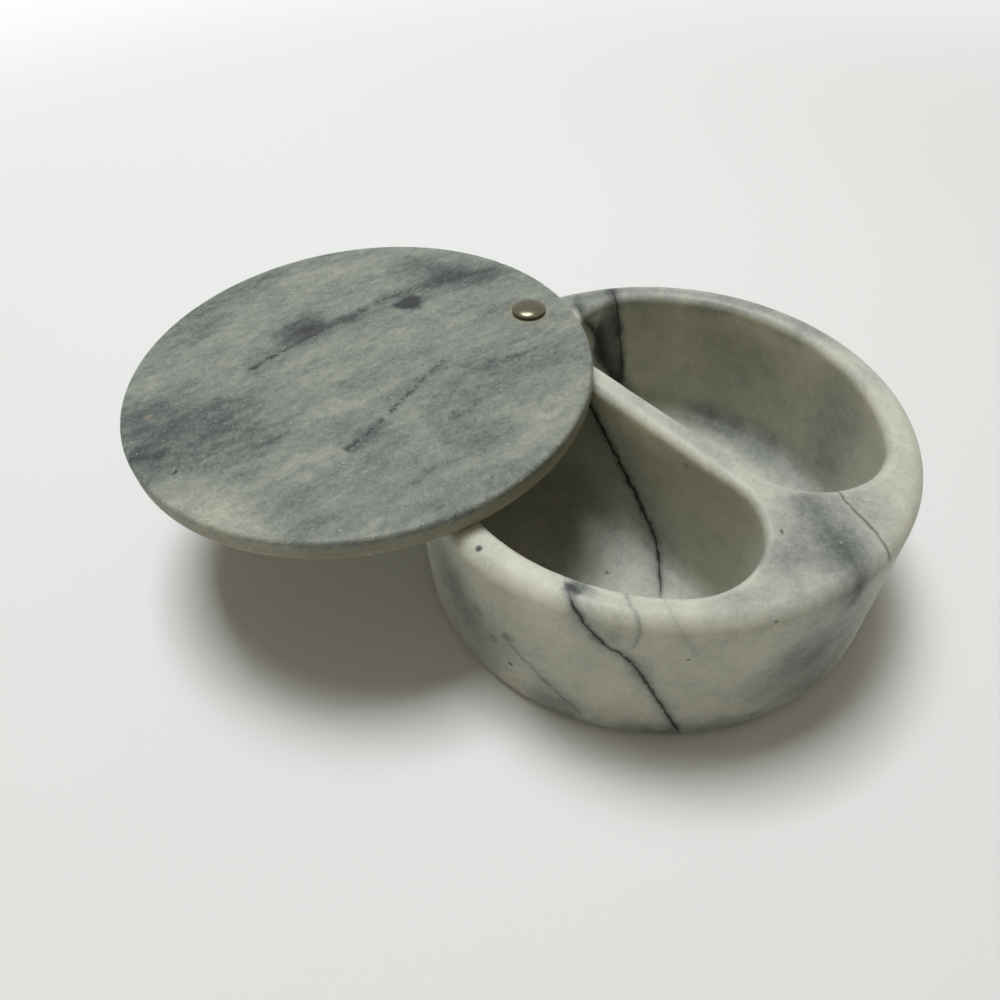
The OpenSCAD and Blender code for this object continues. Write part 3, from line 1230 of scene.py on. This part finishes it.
@dataclass
class PocketShape:
    """One D-shaped pocket: its outline seen from above and its section down to the floor."""

    arc_r: float
    rim_z: float
    ground: tuple[GroundSpot, ...]
    floor_z: float = 6.0 * MM
    divider_half: float = 3.5 * MM
    corner_r: float = 18.0 * MM
    fillet: float = 5.0 * MM
    mouth: float = 2.3 * MM
    mouth_vary: float = 0.14
    mouth_patch: float = 9.0 * MM
    mouth_most: float = 3.25 * MM
    support: float = 0.15 * MM
    spacing: float = 0.75 * MM
    wall_rows: int = 14
    round_rows: int = 9
    waver: float = 0.22 * MM
    waver_size: float = 17.0 * MM
    ripple: float = 0.25
    ripple_share: float = 4.3

    def outline(self) -> list[tuple[Vector, Vector]]:
        """The wall seen from above, anticlockwise, on the +X side of the divider.

        Returns:
            Each place with the direction into the stone.
        """
        cx = self.divider_half + self.corner_r
        cy = math.sqrt((self.arc_r - self.corner_r) ** 2 - cx**2)
        end = math.atan2(cy, cx)
        made = self._arc(Vector((0, 0)), self.arc_r, -end, end)
        made += self._arc(Vector((cx, cy)), self.corner_r, end, math.pi)
        rows = round(2 * cy / self.spacing)
        made += [
            (Vector((self.divider_half, cy - 2 * cy * i / rows)), Vector((-1, 0)))
            for i in range(rows)
        ]
        made += self._arc(Vector((cx, -cy)), self.corner_r, math.pi, math.tau - end)
        return made

    def _arc(
        self, centre: Vector, radius: float, start: float, end: float
    ) -> list[tuple[Vector, Vector]]:
        """Places along an arc of the outline.

        Args:
            centre: its centre.
            radius: its radius.
            start: the angle at which it starts.
            end: the angle at which it ends.

        Returns:
            Each place but the last one, with the direction into the stone.
        """
        rows = round(radius * (end - start) / self.spacing)
        angles = [start + (end - start) * i / rows for i in range(rows)]
        outward = [Vector((math.cos(a), math.sin(a))) for a in angles]
        return [(centre + radius * n, n) for n in outward]

    def section(self) -> list[Pair]:
        """How far out of the wall's line, and how high, each ring lies, from the rim down.

        Returns:
            Pairs of offset and height.
        """
        top, low = self.rim_z - self.mouth, self.floor_z + self.fillet
        return [
            (self.mouth + self.support, self.rim_z),
            *bend((self.mouth, top), self.mouth, QUARTER, math.pi, self.round_rows),
            *upright(0.0, top, low, self.wall_rows),
            *bend((-self.fillet, low), self.fillet, 0.0, -QUARTER, self.round_rows),
            (-self.fillet - self.support, self.floor_z),
        ]

    def push(self, at: Vector, offset: float, side: int) -> float:
        """How far ground stone wavers outwards from the even shape at a place.

        Args:
            at: the place.
            offset: how far it lies out of the wall's line.
            side: 1 for the pocket at +X, -1 for its mirror image.

        Returns:
            The distance.
        """
        push = noise.noise(at / self.waver_size) * self.waver
        push += noise.noise(at / self.waver_size * self.ripple_share) * self.waver * self.ripple
        if at.z <= self.rim_z - self.mouth:
            return push
        flat = Vector((at.x, at.y, 0.0))
        vary = noise.noise(flat / self.mouth_patch) * self.mouth_vary
        vary += sum(spot.share(flat) for spot in self.ground if spot.x * side > 0)
        return min(push + min(offset, self.mouth) * vary, self.mouth_most - offset)

    def carve(self, work: Work, side: int) -> Ring:
        """Adds the pocket's walls and floor.

        Args:
            work: the block's bmesh.
            side: 1 for the pocket at +X, -1 for its mirror image.

        Returns:
            The ring that bounds the pocket in the top face.
        """
        outline = self.outline()
        rings = []
        for offset, z in self.section():
            places = []
            for place, outward in outline:
                push = self.push(Vector((side * place.x, place.y, z)), offset, side)
                spot = place + outward * (offset + push)
                places.append(Vector((side * spot.x, spot.y, z)))
            rings.append(add_ring(work, places))
        skin(work, rings)
        fill(work, rings[-1:], 1)
        return rings[0]


@dataclass
class MarbleBlock:
    """The base: one round block of stone with two pockets and a blind hole for the socket."""

    rim_round: float = 4.0 * MM
    foot_round: float = 3.0 * MM
    wall: float = 8.0 * MM
    collar_t: float = 1.2 * MM
    bore_r: float = 3.5 * MM
    support: float = 0.15 * MM
    steps: int = 480
    side_rows: int = 20
    round_rows: int = 12
    hole_steps: int = 64
    waver: float = 0.12 * MM
    waver_size: float = 26.0 * MM
    ground: tuple[GroundSpot, ...] = (
        GroundSpot(48.0 * MM, -16.0 * MM, 34.0 * MM, 0.3),
        GroundSpot(-3.5 * MM, 4.0 * MM, 34.0 * MM, 0.28),
        GroundSpot(-16.0 * MM, -38.0 * MM, 22.0 * MM, -0.5),
    )
    box: NodeBox = field(default_factory=lambda: NodeBox("base"))

    def build(self, material: Material) -> Object:
        """Builds the block.

        Args:
            material: its marble.

        Returns:
            The piece.
        """
        work = bmesh.new()
        radius, rim_z = self.box.high.x, self.box.high.z
        rings = [self._side_ring(work, r, z) for r, z in self._profile(radius, rim_z)]
        skin(work, rings)
        fill(work, rings[:1], -1)
        pocket = PocketShape(radius - self.wall, rim_z, self.ground)
        bounds = [rings[-1], pocket.carve(work, 1), pocket.carve(work, -1)]
        fill(work, [*bounds, self._socket_hole(work, rim_z)], 1)
        mesh = smooth_mesh(work, "marble_block")
        return finished_piece("marble_block", mesh, material, "base", "base")

    def _profile(self, radius: float, rim_z: float) -> list[Pair]:
        """The outside from the underside's edge up and over the rim.

        Args:
            radius: the block's radius.
            rim_z: its height.

        Returns:
            Pairs of radius and height.
        """
        foot, rim, top = self.foot_round, self.rim_round, rim_z - self.rim_round
        return [
            (radius - foot - self.support, 0.0),
            *bend((radius - foot, foot), foot, -QUARTER, 0.0, self.round_rows),
            *upright(radius, foot, top, self.side_rows),
            *bend((radius - rim, top), rim, 0.0, QUARTER, self.round_rows),
            (radius - rim - self.support, rim_z),
        ]

    def _side_ring(self, work: Work, radius: float, z: float) -> Ring:
        """A ring round the outside, drawn in by the slight waver of turned stone.

        Args:
            work: the block's bmesh.
            radius: the even ring's radius.
            z: its height.

        Returns:
            The ring.
        """
        places = []
        for at in circle(Vector((0, 0)), radius, z, self.steps):
            pull = (0.5 + 0.5 * noise.noise(at / self.waver_size)) * self.waver
            places.append(Vector((at.x, at.y, 0)) * (1 - pull / radius) + Vector((0, 0, z)))
        return add_ring(work, places)

    def _socket_hole(self, work: Work, rim_z: float) -> Ring:
        """The stepped blind hole that the socket is bonded in.

        Args:
            work: the block's bmesh.
            rim_z: the height of its top face.

        Returns:
            The ring that bounds it in the top face.
        """
        socket = NodeBox("pin_socket")
        ledge_z = rim_z - self.collar_t
        profile = [
            (socket.radius, rim_z), (socket.radius, ledge_z), (self.bore_r, ledge_z),
            (self.bore_r, socket.low.z),
        ]
        rings = turned(work, socket.middle, profile, self.hole_steps)
        work.faces.new(rings[-1])
        return rings[0]


@dataclass
class SwingLid:
    """The lid: a disc turned by a node tree, with small chips along its upper edge."""

    upper_round: float = 1.1 * MM
    lower_round: float = 1.4 * MM
    bush_r: float = 2.95 * MM
    flange_t: float = 0.7 * MM
    steps: int = 720
    flat_rows: int = 18
    round_rows: int = 8
    side_rows: int = 8
    hole_steps: int = 64
    chip_depth: float = 0.3 * MM
    chip_size: float = 2.0 * MM
    chip_drop: float = 0.6
    chip_range: Pair = (0.6, 0.78)
    seed: int = 7
    weld: float = 0.002 * MM
    box: NodeBox = field(default_factory=lambda: NodeBox("lid"))

    def build(self, material: Material) -> Object:
        """Builds the lid.

        Args:
            material: its marble.

        Returns:
            The piece.
        """
        bush, low, middle = NodeBox("lid_bush"), self.box.low, self.box.middle
        values = {
            "Radius": self.box.radius,
            "Thickness": self.box.high.z - low.z,
            "Upper Round": self.upper_round,
            "Lower Round": self.lower_round,
            "Steps": self.steps,
            "Chip Depth": self.chip_depth,
            "Chip Size": self.chip_size,
            "Seed": self.seed,
            "Centre": (middle.x, middle.y, low.z),
            "Bore": self.bush_r,
            "Bore Place": (bush.middle.x, bush.middle.y, low.z),
            "Flange": bush.radius,
            "Flange Depth": self.flange_t,
            "Finish": material,
        }
        tree = self._tree(list(values))
        carrier = show("lid_blank", bpy.data.meshes.new("lid_blank"))
        modifier = carrier.modifiers.new("turning", "NODES")
        modifier.node_group = tree
        for item in tree.interface.items_tree:
            if item.in_out == "INPUT":
                modifier[item.identifier] = values[item.name]
        carrier.update_tag()
        blank = carrier.evaluated_get(bpy.context.evaluated_depsgraph_get())
        work = bmesh.new()
        work.from_mesh(bpy.data.meshes.new_from_object(blank))
        carrier.modifiers.remove(modifier)
        bpy.data.objects.remove(carrier)
        mesh = smooth_mesh(work, "marble_lid", crease=50.0)
        return finished_piece("marble_lid", mesh, material, "lid", "lid")

    def _tree(self, names: list[str]) -> bpy.types.NodeTree:
        """The node tree that turns the disc: a grid bent round, its profile worked out row by row.

        Args:
            names: the names of its inputs, in order.

        Returns:
            The tree.
        """
        sockets = numbers(*names) | {"Steps": "NodeSocketInt", "Finish": "NodeSocketMaterial"}
        g, given = new_group(
            "turned_disc", sockets | points("Centre", "Bore Place"),
            {"Mesh": "NodeSocketGeometry"}, "GeometryNodeTree",
        )
        (radius, thick, upper, lower, steps, chip_depth, chip_size, seed, centre, bore, bore_place,
         flange, flange_depth, finish) = given
        counts = (self.flat_rows, self.round_rows, self.side_rows, self.round_rows, self.flat_rows)
        starts = list(accumulate(counts, initial=0))
        rows = starts[-1]
        grid = g.add(
            "GeometryNodeMeshGrid",
            {"Size X": 1.0, "Size Y": 1.0, "Vertices Y": rows + 1, "Vertices X": steps + 1.0},
        )
        x, y, _ = g.parts(g.add("GeometryNodeInputPosition")[0])
        turn, down = (x + 0.5) * math.tau, y + 0.5
        top, upper_bend, side, lower_bend, under = (
            g.ramp(down, a / rows, b / rows, smooth=False) for a, b in zip(starts, starts[1:])
        )
        upper_turn, lower_turn = upper_bend * QUARTER, lower_bend * QUARTER
        inner = 1.0 - top
        reach = (radius - upper) * (1.0 - inner * inner) + upper * g.math("SINE", upper_turn)
        reach = reach - lower * (1.0 - g.math("COSINE", lower_turn))
        reach = reach - (radius - lower) * (under * under)
        height = thick - upper * (1.0 - g.math("COSINE", upper_turn))
        height = height - (thick - upper - lower) * side
        height = height - lower * g.math("SINE", lower_turn)

        round_x, round_y = g.math("COSINE", turn), g.math("SINE", turn)
        ring = g.point(radius * round_x, radius * round_y, (upper_bend + seed) * chip_size)
        nick = g.ramp(g.noise(ring, 1.0 / chip_size, 2.0)[0], *self.chip_range)
        chip = nick * g.math("SINE", upper_bend * math.pi) * chip_depth
        reach = reach - chip
        spot = g.point(reach * round_x, reach * round_y, height - chip * self.chip_drop)
        bent = g.add(
            "GeometryNodeSetPosition",
            {"Geometry": grid["Mesh"], "Position": g.vector("ADD", spot, centre)},
        )
        closed = g.add(
            "GeometryNodeMergeByDistance", {"Geometry": bent[0], "Distance": self.weld}
        )
        bored = g.add(
            "GeometryNodeMeshBoolean", {"Mesh 1": closed[0]}, operation="DIFFERENCE",
            solver="MANIFOLD",
        )
        # Both cutters are centred on the underside, so half of each one's depth cuts
        for cut_r, depth in ((bore, thick * 4.0), (flange, flange_depth * 2.0)):
            rod = g.add(
                "GeometryNodeMeshCylinder",
                {"Vertices": self.hole_steps, "Radius": cut_r, "Depth": depth},
            )
            cutter = g.add(
                "GeometryNodeTransform", {"Geometry": rod["Mesh"], "Translation": bore_place}
            )
            g.feed(bored.node.inputs["Mesh 2"], cutter[0])
        real = g.add("GeometryNodeRealizeInstances", {"Geometry": bored["Mesh"]})
        dressed = g.add("GeometryNodeSetMaterial", {"Geometry": real[0], "Material": finish})
        g.give(Mesh=dressed[0])
        return g.tree


@dataclass
class DomedPin:
    """The pin: a domed head with a softly rounded edge, on a shank keyed by turned grooves."""

    shank_r: float = 2.0 * MM
    dome_h: float = 1.0 * MM
    edge_h: float = 0.8 * MM
    edge_round: float = 0.22 * MM
    edge_cut: float = 0.3
    crown: float = 3.0
    shoulder: float = 1.5
    chamfer: float = 0.6 * MM
    groove_w: float = 1.0 * MM
    groove_depth: float = 0.3 * MM
    groove_pitch: float = 3.0 * MM
    groove_count: int = 4
    steps: int = 128
    dome_rows: int = 16
    box: NodeBox = field(default_factory=lambda: NodeBox("pivot_pin"))

    def build(self, material: Material) -> Object:
        """Builds the pin.

        Args:
            material: its metal.

        Returns:
            The piece.
        """
        centre, high_z = self.box.middle, self.box.high.z
        under = high_z - self.dome_h - self.edge_h
        work = bmesh.new()
        rings = turned(work, centre, self._shank(under) + self._head(under), self.steps)
        work.faces.new(rings[0])
        top = work.verts.new((centre.x, centre.y, high_z))
        for a, b in looped(rings[-1]):
            work.faces.new((a, b, top))
        mesh = smooth_mesh(work, "domed_pin", crease=30.0)
        return finished_piece("domed_pin", mesh, material, "base", "pivot_pin")

    def _shank(self, under: float) -> list[Pair]:
        """The shank from its chamfered end up to the head.

        Args:
            under: the height of the head's underside.

        Returns:
            Pairs of radius and height.
        """
        end_z, r = self.box.low.z, self.shank_r
        made = [(r - self.chamfer, end_z), (r, end_z + self.chamfer)]
        for i in range(1, self.groove_count + 1):
            z, floor_r = end_z + i * self.groove_pitch, r - self.groove_depth
            made += [(r, z), (floor_r, z), (floor_r, z + self.groove_w), (r, z + self.groove_w)]
        return [*made, (r, under)]

    def _head(self, under: float) -> list[Pair]:
        """The head from its underside to near the dome's top.

        Args:
            under: the height of its underside.

        Returns:
            Pairs of radius and height.
        """
        radius, soft, edge_z = self.box.radius, self.edge_round, under + self.edge_h
        cut = soft * self.edge_cut
        made = [(radius - soft, under), (radius - cut, under + cut), (radius, under + soft)]
        made.append((radius, edge_z))
        for i in range(1, self.dome_rows):
            r = math.cos(QUARTER * i / self.dome_rows)
            rise = (1 - r**self.crown) ** (1 / self.shoulder)
            made.append((radius * r, edge_z + self.dome_h * rise))
        return made


@dataclass
class Studio:
    """The pale floor, the soft light from overhead and the camera at the photograph's angle."""

    focal_px: float = 758.2
    image_px: float = 1000.0
    sensor: float = 36.0
    camera_place: Point3 = (-110.3 * MM, -89.2 * MM, 168.3 * MM)
    heading: float = 55.0
    pitch: float = 47.26
    roll: float = -4.39
    nearest: float = 0.01
    floor_r: float = 9.0
    floor_steps: int = 96
    white_range: Pair = (0.25, 0.8)
    lamp_size: float = 0.42
    lamp_place: Point3 = (0.045, 0.3, 1.1)
    lamp_aim: Point3 = (-0.02, 0.03, 0.0)
    lamp_share: float = 0.95
    ambient: float = 0.23
    floor_colour: Colour = srgb(226, 228, 226)
    lamp_colour: Colour = (0.97, 1.0, 1.03)
    ambient_colour: Colour = (1.0, 0.905, 0.725)

    def build(self) -> None:
        """Builds the studio round the object."""
        self._floor()
        self._lamp()
        self._world()
        self._camera()
        bpy.context.scene.view_settings.view_transform = "Standard"

    def _floor(self) -> None:
        """A level floor that turns into the white background far from the object."""
        work = bmesh.new()
        edge = circle(Vector((0, 0)), self.floor_r, 0.0, self.floor_steps)
        work.faces.new(add_ring(work, edge))
        mesh = plain_mesh(work, "floor")
        floor = show("floor", mesh)
        material = bpy.data.materials.new("floor_pale")
        g = blank_graph(material)
        matt = g.add("ShaderNodeBsdfDiffuse", {"Color": self.floor_colour})[0]
        white = g.add("ShaderNodeEmission", {"Strength": 1.0})[0]
        far = g.ramp(g.length(g.add("ShaderNodeTexCoord")["Object"]), *self.white_range)
        g.end(g.add("ShaderNodeMixShader", {0: far * self._seen(g), 1: matt, 2: white})[0])
        mesh.materials.append(material)

    @staticmethod
    def _seen(g: Graph) -> Value:
        """Which rays show the background.

        Args:
            g: the graph of the floor or the world.

        Returns:
            1 for a ray from the camera, from a reflection or through glass, otherwise 0.
        """
        path = g.add("ShaderNodeLightPath")
        both = g.math("MAXIMUM", path["Is Camera Ray"], path["Is Glossy Ray"])
        return g.math("MAXIMUM", both, path["Is Transmission Ray"])

    def _lamp(self) -> None:
        """One broad soft lamp overhead, at a level that shows a colour about as it is written."""
        light = bpy.data.lights.new("softbox", "AREA")
        light.shape = "SQUARE"
        light.size = self.lamp_size
        light.energy = self.lamp_share * math.pi**2 * self.lamp_place[2] ** 2
        light.color = self.lamp_colour
        lamp = show("softbox", light)
        lamp.location = self.lamp_place
        aim = Vector(self.lamp_aim) - Vector(self.lamp_place)
        lamp.rotation_euler = aim.to_track_quat("-Z", "Y").to_euler()

    def _world(self) -> None:
        """An even dim light from all round, and white where the background is seen."""
        world = bpy.data.worlds.new("studio")
        g = blank_graph(world)
        kind = "ShaderNodeBackground"
        dim = g.add(kind, {"Color": self.ambient_colour, "Strength": self.ambient})[0]
        white = g.add(kind, {"Color": (1.0, 1.0, 1.0), "Strength": 1.0})[0]
        mixed = g.add("ShaderNodeMixShader", {0: self._seen(g), 1: dim, 2: white})[0]
        g.end(mixed, "ShaderNodeOutputWorld")
        bpy.context.scene.world = world

    def _camera(self) -> None:
        """The camera, turned by its heading, its pitch down and its small roll."""
        data = bpy.data.cameras.new("camera")
        data.sensor_width = self.sensor
        data.lens = self.sensor * self.focal_px / self.image_px
        data.clip_start = self.nearest
        heading, pitch, roll = (math.radians(a) for a in (self.heading, self.pitch, self.roll))
        level = Vector((math.cos(heading), math.sin(heading), 0.0))
        right = Vector((level.y, -level.x, 0.0))
        forward = level * math.cos(pitch) - Vector((0, 0, math.sin(pitch)))
        up = level * math.sin(pitch) + Vector((0, 0, math.cos(pitch)))
        x_axis = right * math.cos(roll) + up * math.sin(roll)
        y_axis = up * math.cos(roll) - right * math.sin(roll)
        turn = Matrix((x_axis, y_axis, -forward)).transposed().to_4x4()
        camera = show("camera", data)
        camera.matrix_world = Matrix.Translation(self.camera_place) @ turn
        bpy.context.scene.camera = camera


def dress_node(name: str, material: Material) -> None:
    """Gives a CAD node that stays in view a finish.

    Args:
        name: the node.
        material: the finish.
    """
    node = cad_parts[name]
    if not node.material_slots:
        node.data.materials.append(material)
    for slot in node.material_slots:
        slot.material = material
    log.info("%s: packed solid, in %s", name, material.name)


def main() -> None:
    """Builds the cellar's pieces in the order in which it goes together, then the studio."""
    StoneEffects().build()
    MarbleBlock().build(PALE_MARBLE.build())
    dress_node("pin_socket", SOCKET_BRASS.build())
    SwingLid().build(GREY_MARBLE.build())
    dress_node("lid_bush", BUSH_NYLON.build())
    DomedPin().build(NICKEL_DIM_REFLECTION.build())
    Studio().build()


if __name__ == "__main__":
    main()
